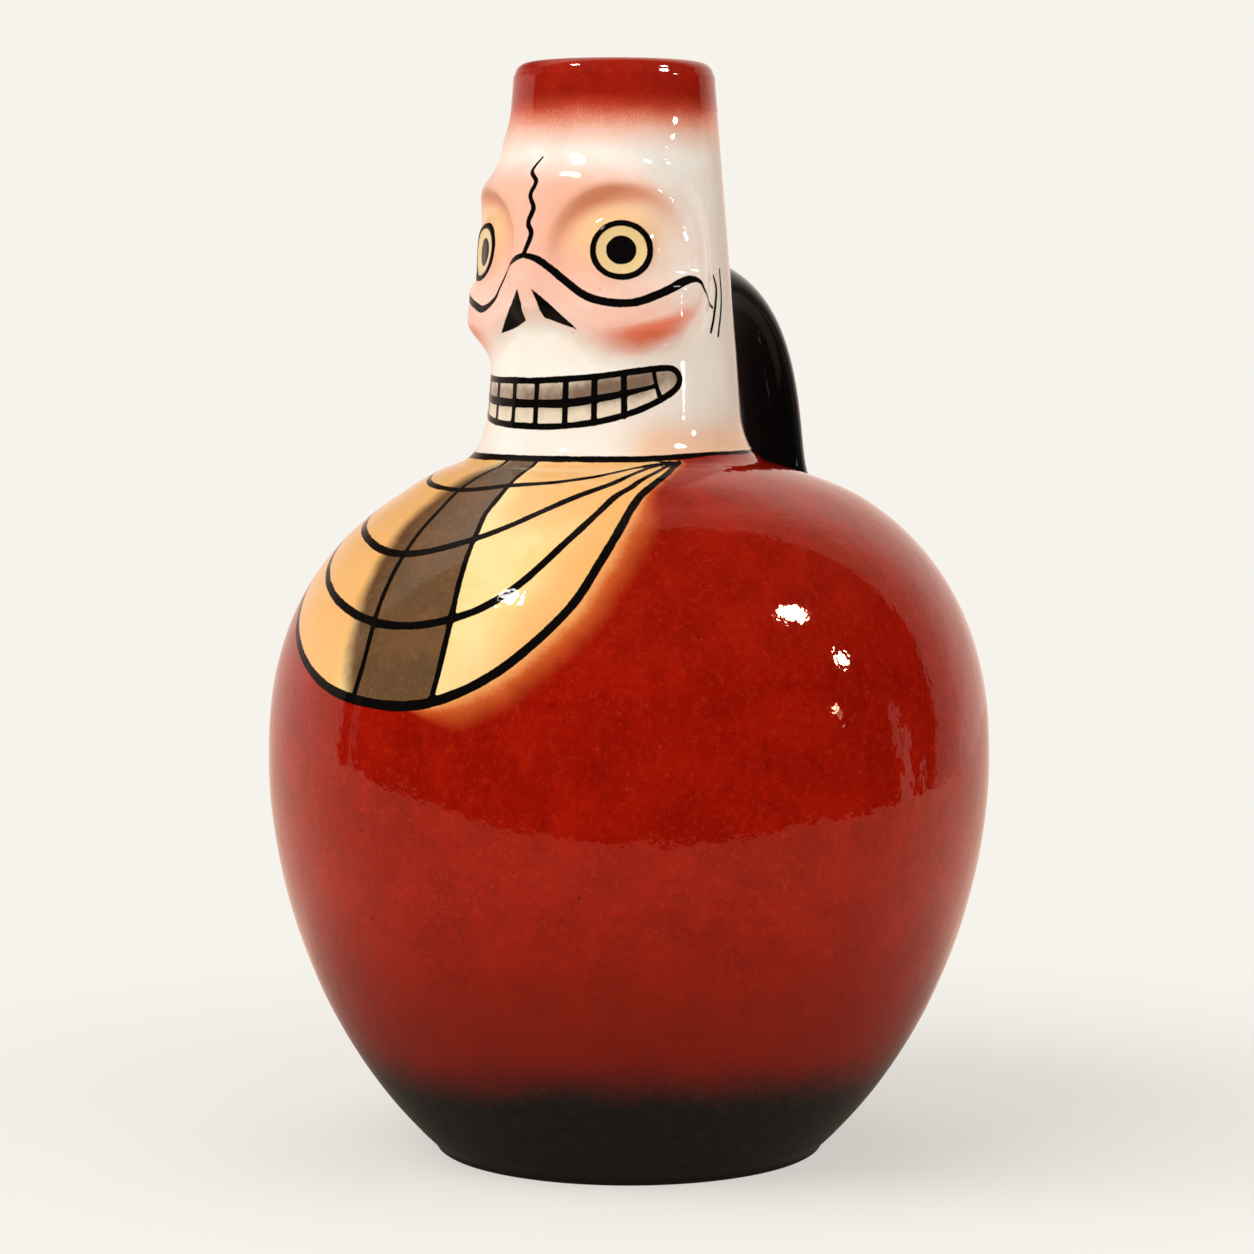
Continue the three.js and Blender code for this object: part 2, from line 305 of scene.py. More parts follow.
def surface(phi, z):
    """Points of the jug's outside at turns phi and heights z"""
    radius = outline_radius(z) + face_relief(phi, z) + wobble(phi, z)
    angle = np.radians(phi)
    return np.stack([radius * np.sin(angle), lean(z) - radius * np.cos(angle), z + 0 * phi], axis=-1)


def surface_normals(phi, z, reach=0.05):
    across = surface(phi + reach, z) - surface(phi - reach, z)
    up = surface(phi, z + reach) - surface(phi, z - reach)
    normal = np.cross(across, up)
    return normal / np.linalg.norm(normal, axis=-1, keepdims=True)


PHI = np.concatenate([
    np.arange(-FRONT_REACH, FRONT_REACH, FRONT_STEP),
    np.arange(FRONT_REACH, 360 - FRONT_REACH, BACK_STEP),
])


def run_along(path):
    """Length of a path up to each of its points"""
    return np.concatenate([[0], np.cumsum(np.linalg.norm(np.diff(path, axis=0), axis=1))])


def even_heights(low, high, step):
    """Heights between two seams at even steps along the outline"""
    z = np.linspace(low, high, OUTLINE_STEPS)
    run = run_along(np.stack([z, outline_radius(z)], axis=1))
    return np.interp(np.linspace(0, run[-1], max(2, round(run[-1] / step) + 1)), run, z)


def plain_rings(profile):
    """Rings of a turned surface through (radius, height) points, which leans as the neck does"""
    radius, z = np.array(profile, float).T
    angle = np.radians(PHI)
    x = np.outer(radius, np.sin(angle))
    y = lean(z)[:, None] - np.outer(radius, np.cos(angle))
    return np.stack([x, y, np.repeat(z[:, None], len(PHI), axis=1)], axis=-1)


# Meshes

def grid_faces(rows, columns, closed):
    row, column = np.meshgrid(np.arange(rows if closed else rows - 1), np.arange(columns), indexing="ij")
    next_row, next_column = (row + 1) % rows, (column + 1) % columns
    corners = [(row, column), (row, next_column), (next_row, next_column), (next_row, column)]
    return np.stack([a * columns + b for a, b in corners], axis=-1).reshape(-1, 4)


def make_piece(name, rings, sharp_rings, poles=None):
    """A piece from rings of points: rings that close on themselves, or two poles that close their ends"""
    rows, columns = rings.shape[:2]
    points = rings.reshape(-1, 3)
    faces = grid_faces(rows, columns, poles is None).tolist()
    if poles is not None:
        first, last = len(points), len(points) + 1
        points = np.vstack([points, poles])
        base = (rows - 1) * columns
        for here in range(columns):
            there = (here + 1) % columns
            faces.append([first, there, here])
            faces.append([last, base + here, base + there])
    mesh = bpy.data.meshes.new(name)
    mesh.from_pydata((points * MM).tolist(), [], faces)
    mesh.polygons.foreach_set("use_smooth", [True] * len(faces))
    ends = np.empty(len(mesh.edges) * 2, np.int32)
    mesh.edges.foreach_get("vertices", ends)
    rows_of_ends = np.where(ends < rows * columns, ends // columns, -1).reshape(-1, 2)
    same_row = rows_of_ends[:, 0] == rows_of_ends[:, 1]
    sharp = mesh.attributes.new("sharp_edge", "BOOLEAN", "EDGE")
    sharp.data.foreach_set("value", same_row & np.isin(rows_of_ends[:, 0], sharp_rings))
    mesh.validate()
    mesh.update()
    return put(name, mesh)


def settle_normals(piece, rows, normals):
    """Gives the first rows of a piece the outline's true normals, so that no seam shows in the glaze"""
    mesh = piece.data
    corner_normals = np.empty(len(mesh.loops) * 3, np.float32)
    mesh.corner_normals.foreach_get("vector", corner_normals)
    corner_normals = corner_normals.reshape(-1, 3)
    corner_points = np.empty(len(mesh.loops), np.int32)
    mesh.loops.foreach_get("vertex_index", corner_points)
    wall_corners = (rows - 1) * len(PHI) * 4
    corner_normals[:wall_corners] = normals.reshape(-1, 3)[corner_points[:wall_corners]]
    mesh.normals_split_custom_set(corner_normals.tolist())


def strip_finish(piece, finishes):
    """Materials by strip: each is a material and the number of strips of faces that it covers"""
    index = []
    for place, (material, strips) in enumerate(finishes):
        piece.data.materials.append(material)
        index += [place] * (strips * len(PHI))
    index += [len(finishes) - 1] * (len(piece.data.polygons) - len(index))
    piece.data.polygons.foreach_set("material_index", index)


def place_piece(piece, slot, *nodes):
    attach(piece, BODY)
    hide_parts(*nodes)


# Brush lines. Each point is a turn in degrees, a height and the brush's width there.

COLLAR_EDGE = [
    (64, 192.5, 1.5), (48.4, 187.5, 2.1), (40.2, 182.8, 2.3), (36.2, 175.5, 2.4), (33.1, 168.2, 2.5),
    (28, 156, 2.5), (17.6, 140.7, 2.6), (7, 132.7, 2.7), (-4, 131.4, 2.7), (-17.5, 135, 2.5),
    (-34, 146.4, 2.3), (-50, 162, 2.2), (-64, 179, 1.9), (-80, 193.3, 1.4),
]
COLLAR_LINES = [
    [(62, 192.5, 1.0), (48.1, 189.2, 1.4), (41.2, 186.7, 1.7), (33.8, 182.8, 2.0), (26.1, 173.2, 2.2),
     (17.6, 160.8, 2.3), (8.8, 154, 2.3), (-3, 151.3, 2.3), (-16.7, 154.2, 2.3), (-37.4, 163.8, 2.2),
     (-58, 178, 1.9), (-80, 193.3, 1.3)],
    [(61, 192.6, 0.9), (47.1, 190.5, 1.3), (36.2, 187.5, 1.7), (22.8, 182.9, 2.1), (6.1, 173.4, 2.3),
     (-9.9, 168.9, 2.4), (-29.3, 172.2, 2.2), (-51.6, 178.8, 2.0), (-80, 193.3, 1.3)],
    [(60, 192.7, 0.8), (43.5, 190.9, 1.1), (31.3, 189.1, 1.4), (18.6, 187.6, 1.6), (6.2, 186.7, 1.8),
     (-11.2, 185.1, 1.8), (-34.6, 186.5, 1.7), (-60, 190.5, 1.4), (-80, 193.3, 1.3)],
]
BAND_SIDES = [
    [(-6.4, 193.3, 1.2), (-11, 185, 1.6), (-10.1, 178.5, 1.7), (-9.4, 170.5, 1.7), (-8.4, 157.5, 1.8),
     (-7.6, 143, 1.8), (-8.5, 131.6, 1.8)],
    [(7.9, 193.3, 1.2), (5.3, 186.5, 1.6), (4.4, 180.5, 1.7), (6.1, 173.4, 1.7), (8, 157, 1.8),
     (8.2, 144.3, 1.8), (7.3, 132.7, 1.8)],
]
BAND_DRIFT = [(-9, 193.3), (-18, 186), (-18, 177), (-16, 166), (-14, 153), (-12.5, 143), (-11, 131.6)]
# How far the collar's spray drifts past its edge: the least share, what the skull's left adds to it, and how
# much of that is left close to the neck
HALO_LEAST, HALO_SIDE, HALO_TOP = 0.12, 1.0, 0.15
HALO_TURNS, HALO_HEIGHTS = (1, 15), (176, 188)
# The collar's orange tint, from none of it to all of it: at the edge away from the band, near the neck on the
# skull's left, where it is a painted reflection of the pink neck, and over the skull's right
EDGE_TINT_REACH, EDGE_TINT_TURNS, BAND_TURN = (22, 1), (6, 30), -2
NECK_REFLECTION_TINT, NECK_REFLECTION_HEIGHTS, NECK_REFLECTION_TURNS = 0.8, (168, 184), (2, 14)
RIGHT_TINT, RIGHT_TINT_TURNS = 0.9, (-8, -16)
# The brown band darkens between these heights, and its left edge is this many times as crisp as its right
BAND_DARKENS = (181, 191)
BAND_CRISPNESS = 4
# The line round the neck's root, which rises and thins towards the back
NECK_LINE, NECK_LINE_RISE, NECK_LINE_RISES = 193.4, 1.1, (45, 85)
NECK_LINE_WIDTH, NECK_LINE_LOSS, NECK_LINE_THINS = 1.6, 0.45, (40, 100)

CRACK = [
    (0.5, 273.6, 0.5), (-2.5, 269.9, 1.2), (2, 266.9, 1.4), (-0.2, 263.3, 1.5), (1.9, 259.9, 1.5),
    (-0.2, 256, 1.5), (2, 253, 1.5), (-0.2, 247.7, 1.6),
]
LEFT_CHEEK_LINE = [
    (0, 247.4, 1.6), (6.6, 246, 1.9), (17.8, 240.4, 2.1), (26.1, 236.8, 2.2), (34.9, 235, 2.2),
    (45.6, 234.7, 2.2), (55, 236.7, 2.3), (65.6, 239.9, 2.4), (71.4, 241, 2.2), (75.8, 240.4, 1.5),
    (79.6, 237.5, 1.1), (92.9, 233.5, 0.9),
]
RIGHT_CHEEK_LINE = [
    (0, 247.4, 1.6), (-5.3, 246.5, 1.6), (-11.6, 244.3, 1.2), (-18.3, 239.6, 1.1), (-23.3, 235.6, 1.4),
    (-33.2, 233.2, 1.9), (-42.8, 234.4, 2.1), (-55, 237, 2.3), (-65.6, 240.2, 2.4), (-71.4, 241, 2.2),
    (-75.8, 240.4, 1.5), (-79.6, 237.5, 1.1), (-92.9, 233.5, 0.9),
]
SIDE_MARKS = [
    [(95.7, 242.1, 0.8), (97.6, 238.3, 1.1), (94.5, 232, 1.1), (90.4, 226.8, 0.9)],
    [(102.6, 243.8, 0.8), (102.1, 235.3, 1.1), (96.5, 225.9, 0.9)],
]
RIGHT_NOSTRIL = [
    (-2.9, 238.7), (-1.7, 234.3), (-3.3, 230), (-13.5, 227.9), (-21.3, 226.5), (-15.8, 230.1), (-9.1, 233.9),
]
LEFT_NOSTRIL = [
    (3.3, 239.1), (9.3, 235.5), (16.3, 231.5), (23.4, 227.6), (14.6, 229.2), (7.4, 230.8), (5.9, 234.7),
]
MOUTH = [
    (0, 214), (14, 214.4), (31, 215.2), (47.6, 216.5), (58.8, 217.3), (66, 217.2), (69.4, 215),
    (67.8, 212.2), (60.8, 209.4), (47.4, 205.8), (31.4, 203.2), (15, 202), (0, 201.8), (-22, 202.4),
    (-37, 203.5), (-48, 205), (-60, 207.4), (-68, 210), (-70, 212.6), (-66, 214.7), (-49, 214.6),
    (-31, 214.1), (-14, 214),
]
MOUTH_WIDTH = 1.75
BITE = [
    (-68, 212, 1.6), (-50, 210.2, 1.9), (-35.5, 208.7, 2.2), (-17, 208, 2.3), (2, 207.9, 2.3),
    (17, 208.1, 2.3), (31.3, 209.3, 2.1), (44.2, 210.8, 1.7), (57.8, 212.7, 1.1),
]
# Lines between the teeth, each as long as the mouth is high within a few degrees of it
TEETH_GAPS = [-55, -41, -27, -12.5, 1.6, 16.5, 29.8, 43]
GAP_REACH = 1.5
LAST_TOOTH = [(56.4, 217.2, 1.2), (57.8, 213, 1.2), (59.6, 209.2, 1.3)]
TOOTH_LINE_WIDTH = 1.7
# The stain on the teeth, deepest above the bite and on the skull's left
STAIN_RISE, STAIN_TALL = 2, 3
STAIN_LEAST, STAIN_GROWS, STAIN_ENDS = 0.72, (-10, 42), (52, 60)

# Tints sprayed on the face: turn and height of the middle, spread round and up
PINK_PATCH = (16, 255, 19, 14)
PINK_ALL_OVER, PINK_SIDE_LOSS, PINK_SIDE_TURNS = 0.5, 0.2, (50, 66)
PEACH_PATCH = (38, 254, 11 / EYE_ARC, 7.5)
# The rouge lies under the cheekbone and bends upwards from a turn on, with a fainter bloom above it
ROUGE_LOW, ROUGE_BEND, ROUGE_START = 226, 0.006, 38
ROUGE_TURN, ROUGE_WIDE, ROUGE_ABOVE, ROUGE_BELOW = 53, 15, 2.6, 3.9
BLOOM, BLOOM_TURN, BLOOM_WIDE, BLOOM_RISE, BLOOM_TALL = 0.42, 46, 20, 3, 5.5
# The blush at the neck's root, and the painted shade that greys the white on the neck's sides and back
BLUSH_HEIGHT, BLUSH_TALL, BLUSH_BEGINS, BLUSH_ENDS = 195, 6, (30, 62), (135, 170)
SIDE_SHADE_TURNS = (82, 124)

# Shares of the way from one point of a line to the next
BRUSH_RUN = np.linspace(0, 1, 40, endpoint=False)[:, None]


def brushed(points, closed=False):
    """A smooth run through a line's points"""
    points = np.array(points, float)
    if closed:
        ends = np.vstack([points[-1:], points, points[:2]])
    else:
        ends = np.vstack([2 * points[:1] - points[1:2], points, 2 * points[-1:] - points[-2:-1]])
    t = BRUSH_RUN
    runs = []
    for a, b, c, d in zip(ends, ends[1:], ends[2:], ends[3:]):
        runs.append(b + 0.5 * t * (c - a + t * (2 * a - 5 * b + 4 * c - d + t * (3 * (b - c) + d - a))))
    if not closed:
        runs.append(points[-1:])
    return np.vstack(runs)


def straight(points):
    """A closed run along straight sides"""
    points = np.array(points, float)
    return np.vstack([a + BRUSH_RUN * (b - a) for a, b in zip(points, np.roll(points, -1, axis=0))])


def mirrored(points):
    return [(-point[0], *point[1:]) for point in points]


def nearest(points, line, width=0.0):
    """Distance of each point from a line on the surface, less half of its width"""
    marks = surface(line[:, 0], line[:, 1])
    half = line[:, 2] / 2 if line.shape[1] == 3 else np.full(len(line), width / 2)
    tree = KDTree(len(marks))
    for index, mark in enumerate(marks):
        tree.insert(mark, index)
    tree.balance()
    found = [tree.find(point) for point in points]
    return np.array([distance - half[index] for _, index, distance in found])


def enclosed(line, phi, z):
    """True where a turn and height lie inside a closed line"""
    inside = np.zeros(phi.shape, bool)
    for (a, low), (b, high) in zip(line[:, :2], np.roll(line[:, :2], -1, axis=0)):
        if low == high:
            continue
        crossing = a + (z - low) * (b - a) / (high - low)
        inside ^= ((low > z) != (high > z)) & (phi < crossing)
    return inside


def fill_distance(points, line, phi, z):
    """Distance from a closed line, below zero inside it"""
    return np.where(enclosed(line, phi, z), -1, 1) * nearest(points, line)


def least(distances):
    return np.min(np.stack(list(distances)), axis=0)


def neck_line_height(phi):
    return NECK_LINE + NECK_LINE_RISE * ease(*NECK_LINE_RISES, turn_from_face(phi))


def neck_line_distance(phi, z):
    width = NECK_LINE_WIDTH * (1 - NECK_LINE_LOSS * ease(*NECK_LINE_THINS, turn_from_face(phi)))
    return np.abs(z - neck_line_height(phi)) - width / 2


def store(piece, name, values):
    attribute = piece.data.attributes.new(name, "FLOAT", "POINT")
    padded = np.zeros(len(piece.data.vertices), np.float32)
    padded[:len(values)] = values
    attribute.data.foreach_set("value", padded)


def collar_strokes(points, phi, z):
    lines = [brushed(COLLAR_EDGE), *map(brushed, COLLAR_LINES), *map(brushed, BAND_SIDES)]
    return [*(nearest(points, line) for line in lines), neck_line_distance(phi, z)]


def paint_collar(piece, points, phi, z):
    store(piece, "ink", least(collar_strokes(points, phi, z)))
    edge = brushed(COLLAR_EDGE)[:, :2]
    closing = [(edge[-1, 0], HEIGHT), (edge[0, 0], HEIGHT)]
    outside = ~enclosed(np.vstack([edge, closing]), phi, z)
    distance = nearest(points, edge)
    halo = HALO_LEAST + HALO_SIDE * ease(*HALO_TURNS, phi) * (1 - (1 - HALO_TOP) * ease(*HALO_HEIGHTS, z))
    store(piece, "collar", np.where(outside, distance / halo, -distance))
    edge_tint = ease(*EDGE_TINT_REACH, distance) * ease(*EDGE_TINT_TURNS, np.abs(phi - BAND_TURN))
    # Painted reflection: the pink neck mirrored as an orange tint on the collar near its root, on the skull's
    # left
    painted_neck_reflection = NECK_REFLECTION_TINT * ease(*NECK_REFLECTION_HEIGHTS, z) * ease(*NECK_REFLECTION_TURNS, phi)
    right_tint = RIGHT_TINT * ease(*RIGHT_TINT_TURNS, phi)
    store(piece, "collar_tint_and_reflection", np.max([edge_tint, right_tint, painted_neck_reflection], axis=0))
    store(piece, "band_top", ease(*BAND_DARKENS, z))
    band = np.vstack([brushed(BAND_DRIFT), brushed(BAND_SIDES[1])[::-1, :2]])
    store(piece, "band", fill_distance(points, band, phi, z) * np.where(phi > 0, BAND_CRISPNESS, 1))


def face_strokes():
    lines = [CRACK, BITE, LAST_TOOTH, LEFT_CHEEK_LINE, RIGHT_CHEEK_LINE]
    lines += [*SIDE_MARKS, *map(mirrored, SIDE_MARKS)]
    outline = brushed(MOUTH, closed=True)
    for turn in TEETH_GAPS:
        near = outline[np.abs(outline[:, 0] - turn) < GAP_REACH, 1]
        lines.append([(turn, height, TOOTH_LINE_WIDTH) for height in (near.min(), near.mean(), near.max())])
    return [brushed(line) for line in lines]


def paint_face(piece, points, phi, z):
    turn = turn_from_face(phi)
    mouth = brushed(MOUTH, closed=True)
    strokes = [nearest(points, line) for line in face_strokes()]
    strokes.append(nearest(points, mouth, MOUTH_WIDTH))
    for nostril in (LEFT_NOSTRIL, RIGHT_NOSTRIL):
        strokes.append(fill_distance(points, straight(nostril), phi, z))
    eye = eye_distance(phi, z)
    ring_middle, ring_half = (EYE_RING + EYE_WHITE) / 2, (EYE_RING - EYE_WHITE) / 2
    strokes += [np.abs(eye - ring_middle) - ring_half, eye - EYE_PUPIL, *collar_strokes(points, phi, z)]
    store(piece, "ink", least(strokes))
    store(piece, "eye", eye - EYE_WHITE)
    store(piece, "mouth", fill_distance(points, mouth, phi, z))
    bite = brushed(BITE)
    above_bite = z - np.interp(phi, bite[:, 0], bite[:, 1])
    stain = STAIN_LEAST + (1 - STAIN_LEAST) * ease(*STAIN_GROWS, phi) * (1 - ease(*STAIN_ENDS, phi))
    store(piece, "stain", stain * swell(above_bite - STAIN_RISE, STAIN_TALL))
    store(piece, "root", z - neck_line_height(phi))
    pink = PINK_ALL_OVER - PINK_SIDE_LOSS * ease(*PINK_SIDE_TURNS, turn)
    pink = pink + (1 - PINK_ALL_OVER) * patch(turn, z, *PINK_PATCH)
    store(piece, "pink", mask_share(turn, z) * pink)
    store(piece, "peach", patch(turn, z, *PEACH_PATCH))
    store(piece, "crease", crease_tint_and_shade(turn, z))
    rouge_height = ROUGE_LOW + ROUGE_BEND * np.maximum(turn - ROUGE_START, 0) ** 2
    rouge_tall = np.where(z > rouge_height, ROUGE_ABOVE, ROUGE_BELOW)
    core = patch(turn, z, ROUGE_TURN, rouge_height, ROUGE_WIDE, rouge_tall)
    bloom = BLOOM * patch(turn, z, BLOOM_TURN, rouge_height + BLOOM_RISE, BLOOM_WIDE, BLOOM_TALL)
    store(piece, "rouge", np.maximum(core, bloom))
    # Painted shade: the white greys from the neck's sides round to its back
    store(piece, "painted_side_shade", ease(*SIDE_SHADE_TURNS, turn))
    blush = ease(*BLUSH_BEGINS, turn) * (1 - ease(*BLUSH_ENDS, turn))
    store(piece, "blush", blush * swell(z - BLUSH_HEIGHT, BLUSH_TALL))


# Colours and nodes

def colour(code):
    """Linear colour of an sRGB hex value"""
    parts = [int(code[place:place + 2], 16) / 255 for place in (1, 3, 5)]
    return (*(c / 12.92 if c <= 0.04045 else ((c + 0.055) / 1.055) ** 2.4 for c in parts), 1.0)


def per_mm(size):
    """Scale of a pattern whose features are this many millimetres across"""
    return 1 / (size * MM)


def add(tree, kind, sockets=(), **settings):
    """Adds a node. A socket takes a value, a node or its output, a hex colour, "place" or a painted name"""
    made = tree.nodes.new("ShaderNode" + kind)
    for name, value in settings.items():
        setattr(made, name, value)
    for socket, value in dict(sockets).items():
        if isinstance(value, bpy.types.Node):
            value = value.outputs[0]
        elif value == "place":
            value = add(tree, "TexCoord").outputs["Object"]
        elif isinstance(value, str):
            painted = not value.startswith("#")
            value = add(tree, "Attribute", attribute_name=value).outputs["Fac"] if painted else colour(value)
        if isinstance(value, bpy.types.NodeSocket):
            tree.links.new(value, made.inputs[socket])
        else:
            made.inputs[socket].default_value = value
    return made


FACTOR, BELOW, ABOVE = 0, 6, 7  # sockets of a colour mix
MIXED = 2


def start_material(name):
    material = bpy.data.materials.new(name)
    material.use_nodes = True
    material.node_tree.nodes.clear()
    return material, material.node_tree


def lay(tree, below, above, value, start, end, most=1.0):
    """One colour over another: none of it where a value is at start, most of it where it reaches end"""
    sockets = {"Value": value, "From Min": start, "From Max": end, "To Max": most}
    share = add(tree, "MapRange", sockets, interpolation_type="SMOOTHSTEP")
    return add(tree, "Mix", {FACTOR: share, BELOW: below, ABOVE: above}, data_type="RGBA").outputs[MIXED]


def cloud(tree, below, above, size, start, end, most=1.0, roughness=0.6):
    """One colour over another in clouds that are this many millimetres across"""
    sockets = {"Vector": "place", "Scale": per_mm(size), "Detail": 4.0, "Roughness": roughness}
    return lay(tree, below, above, add(tree, "TexNoise", sockets), start, end, most)


def speck(tree, below, above, spacing, size, most):
    """One colour over another in sparse round specks of up to this size"""
    cells = add(tree, "TexVoronoi", {"Vector": "place", "Scale": per_mm(spacing)})
    chosen = add(tree, "SeparateColor", {0: cells.outputs["Color"]}).outputs["Red"]
    share = size / spacing
    far = add(tree, "Math", {0: chosen, 1: 2 * share, 2: cells.outputs["Distance"]}, operation="MULTIPLY_ADD")
    return lay(tree, below, above, far, share, 0.6 * share, most)


def ragged(tree, value, size, reach):
    """A value made uneven by up to reach, as a brush or a spray leaves it"""
    noise = add(tree, "TexNoise", {"Vector": "place", "Scale": per_mm(size), "Detail": 3.0})
    stray = add(tree, "MapRange", {"Value": noise, "To Min": -reach, "To Max": reach})
    return add(tree, "Math", {0: value, 1: stray}, operation="ADD")


def height_of(tree):
    """Height above the table in millimetres"""
    z = add(tree, "SeparateXYZ", {0: "place"}).outputs["Z"]
    return add(tree, "Math", {0: z, 1: 1 / MM}, operation="MULTIPLY")


# Ripples of a fired glaze. The fine ones, of about 1 mm, are drawn coarser so that they show.
BROAD_RIPPLE, FINE_RIPPLE, FINE_SHARE = 5, 1.8, 0.4


def fired(material, shade, peel, skin):
    """The fired glaze: a glassy skin over its colour, rippled like orange peel by peel millimetres"""
    tree = material.node_tree
    broad, fine = (
        add(tree, "TexNoise", {"Vector": "place", "Scale": per_mm(size), "Detail": 1.0})
        for size in (BROAD_RIPPLE, FINE_RIPPLE))
    ripple = add(tree, "Math", {0: fine, 1: FINE_SHARE, 2: broad}, operation="MULTIPLY_ADD")
    bump = add(tree, "Bump", {"Height": ripple, "Distance": peel * MM, "Strength": 1.0})
    glaze = add(tree, "BsdfPrincipled", {"Base Color": shade, "Normal": bump, **skin})
    add(tree, "OutputMaterial", {"Surface": glaze})
    return material


# Heights over which the red runs to brown and on to black at the foot
BROWN_FADE, BLACK_FADE = (90, 36), (43, 25)
# The black's edge is highest at a turn, and sinks and rises this often round the jug, by twice its waver
BLACK_TURN, BLACK_WAVES, BLACK_WAVER = 38, 3, 2.4
# Heights over which the rim's spray grows from pink through orange to red
SPRAY_PINK, SPRAY_ORANGE, SPRAY_RED = (272.5, 285.5), (280, 288), (283.6, 291)
# Where a brush line ends, in millimetres past its drawn edge, from outside it to inside
INK_EDGE = (0.12, -0.1)

RED_LIGHT, RED_DEEP = "#9e1304", "#8a0c02"
BROWN_RED, FOOT_BLACK, INK = "#6f1c12", "#141210", "#0b0908"
WHITE, WHITE_WARM = "#faf2e8", "#f6e9da"
# What a glaze does to its mirror image: nothing, or the warmth of iron
PLAIN_SKIN, IRON_SKIN = "#ffffff", "#ffbfa2"
# Mirror strength of clear glaze and of the duller ink, and the depths of their ripples in millimetres
GLAZE_IOR, INK_IOR = 1.5, 1.15
RED_PEEL, WHITE_PEEL = 0.08, 0.05


def red_ground(tree):
    """Iron-red glaze, clouded where the spray lay thick or thin, with dark pinholes"""
    # The finest mottle and the pinholes, of about 0.3 mm, are drawn coarser so that they show
    shade = cloud(tree, RED_DEEP, RED_LIGHT, 14, 0.3, 0.7)
    shade = cloud(tree, shade, "#b4260e", 2.2, 0.48, 0.75, 0.5, roughness=0.75)
    shade = cloud(tree, shade, "#740902", 4.5, 0.52, 0.75, 0.5, roughness=0.7)
    shade = cloud(tree, shade, "#c8614a", 1, 0.55, 0.85, 0.22)
    return speck(tree, shade, "#260805", 5, 0.55, 0.85)


def white_ground(tree):
    """White glaze over buff clay, with fine brown specks that come through it"""
    # The specks, of about 0.2 mm, are drawn coarser so that they show
    shade = cloud(tree, WHITE, WHITE_WARM, 20, 0.3, 0.7)
    return speck(tree, shade, "#8a5a38", 4, 0.4, 0.7)


def rim_spray(tree, shade):
    """Red sprayed down from the rim, which thins out to single dots"""
    # The dots, of about 0.2 mm, are drawn coarser so that they show
    height = ragged(tree, ragged(tree, height_of(tree), 0.5, 1.8), 12, 1.6)
    shade = lay(tree, shade, "#eb9f82", height, *SPRAY_PINK)
    shade = lay(tree, shade, "#c63c1e", height, *SPRAY_ORANGE, 0.9)
    return lay(tree, shade, red_ground(tree), height, *SPRAY_RED, 0.93)


def ink_coat(tree, shade):
    """Black brush lines with edges that waver as a hand's do, and how much they and the glaze mirror"""
    edge = ragged(tree, ragged(tree, "ink", 5, 0.22), 0.9, 0.12)
    outer, inner = INK_EDGE
    reach = {"Value": edge, "From Min": inner, "From Max": outer, "To Min": INK_IOR, "To Max": GLAZE_IOR}
    return lay(tree, shade, INK, edge, outer, inner), add(tree, "MapRange", reach)


# Iron-red earthenware glaze, sprayed: glassy and clouded, warm in what it mirrors, and black at the foot
def red_body_glaze():
    material, tree = start_material("red_sprayed_earthenware_glaze")
    height = add(tree, "Math", {0: height_of(tree), 1: "waver"}, operation="ADD")
    height = ragged(tree, ragged(tree, height, 22, 4.0), 1.1, 3.6)
    shade = lay(tree, red_ground(tree), BROWN_RED, height, *BROWN_FADE, 0.8)
    foot_black = cloud(tree, FOOT_BLACK, "#1c1a17", 3.5, 0.42, 0.75)
    shade = lay(tree, shade, foot_black, height, *BLACK_FADE)
    tint = lay(tree, IRON_SKIN, PLAIN_SKIN, height, *BLACK_FADE)
    return fired(material, shade, RED_PEEL, {"Roughness": 0.035, "IOR": GLAZE_IOR, "Specular Tint": tint})


# The same glaze over the collar: glossy yellow that drifts into the red, a brown band and duller black lines
def collar_glaze():
    material, tree = start_material("collar_painted_earthenware_glaze")
    distance = ragged(tree, ragged(tree, "collar", 9, 1.2), 1.0, 0.8)
    shade = cloud(tree, "#f8dc9c", "#f5d38b", 11, 0.35, 0.7)
    # Orange tint, partly sprayed at the collar's edges and partly a painted reflection of the neck near its
    # root
    shade = lay(tree, shade, "#f0ab62", "collar_tint_and_reflection", 0, 1, 0.8)
    brown = lay(tree, "#45200f", "#140a06", "band_top", 0, 1)
    brown = cloud(tree, brown, "#6d4029", 11, 0.35, 0.7, 0.6)
    brown = cloud(tree, brown, "#8f6852", 1.4, 0.5, 0.8, 0.35)
    shade = lay(tree, shade, brown, ragged(tree, "band", 7, 1.6), 2.5, -4.5, 0.93)
    shade = lay(tree, shade, "#eca461", distance, -1.5, 1)
    shade = lay(tree, shade, "#d0602a", distance, 0.2, 5)
    shade = lay(tree, shade, red_ground(tree), distance, 1.5, 10)
    tint = lay(tree, PLAIN_SKIN, IRON_SKIN, distance, -0.3, 8.8)
    shade, mirror = ink_coat(tree, shade)
    return fired(material, shade, RED_PEEL, {"Roughness": 0.035, "IOR": mirror, "Specular Tint": tint})


